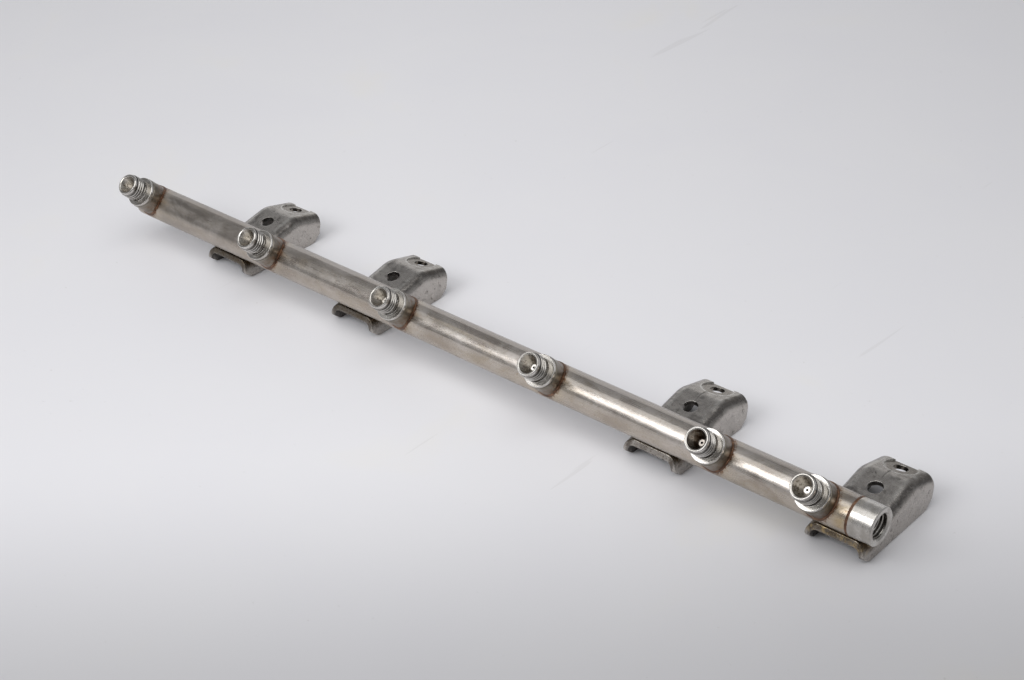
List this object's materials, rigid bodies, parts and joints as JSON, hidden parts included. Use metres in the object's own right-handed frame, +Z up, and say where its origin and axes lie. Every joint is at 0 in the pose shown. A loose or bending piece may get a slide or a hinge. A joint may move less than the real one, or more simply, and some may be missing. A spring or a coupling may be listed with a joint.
{
  "type": "fuel rail",
  "caption": "Straight high-pressure fuel rail: a thick tube with threaded cone-seat ports, a threaded sensor end and pressed channel brackets brazed underneath.",
  "frame": {"origin": "centre of the bounding box's footprint, on the surface that the four brackets' feet stand on", "axes": "+X along the rail from the closed end to the threaded sensor end, -Y the side the ports face, +Z up"},
  "size_m": [0.4456, 0.0722, 0.0418],
  "materials": {
    "tube_steel": "satin drawn stainless tube with light stains",
    "turned_steel": "turned, with fine tool rings and brown heat tint towards the braze",
    "pressed_steel": "dull pressed sheet, scuffed, with heat tint near the tube",
    "braze": "oxidised copper braze, rusty brown"
  },
  "bodies": {
    "root": {"rail_tube": "tube_steel", "end_plug": "turned_steel", "sensor_fitting": "turned_steel", "injector_nipple_1": "turned_steel", "injector_nipple_2": "turned_steel", "injector_nipple_3": "turned_steel", "injector_nipple_4": "turned_steel", "injector_nipple_5": "turned_steel", "inlet_nipple": "turned_steel", "bracket_1": "pressed_steel", "bracket_2": "pressed_steel", "bracket_3": "pressed_steel", "bracket_4": "pressed_steel", "port_braze_1": "braze", "port_braze_2": "braze", "port_braze_3": "braze", "port_braze_4": "braze", "port_braze_5": "braze", "port_braze_6": "braze", "fitting_braze": "braze", "plug_braze": "braze", "bracket_braze_1": "braze", "bracket_braze_2": "braze", "bracket_braze_3": "braze", "bracket_braze_4": "braze"}
  },
  "joints": []
}
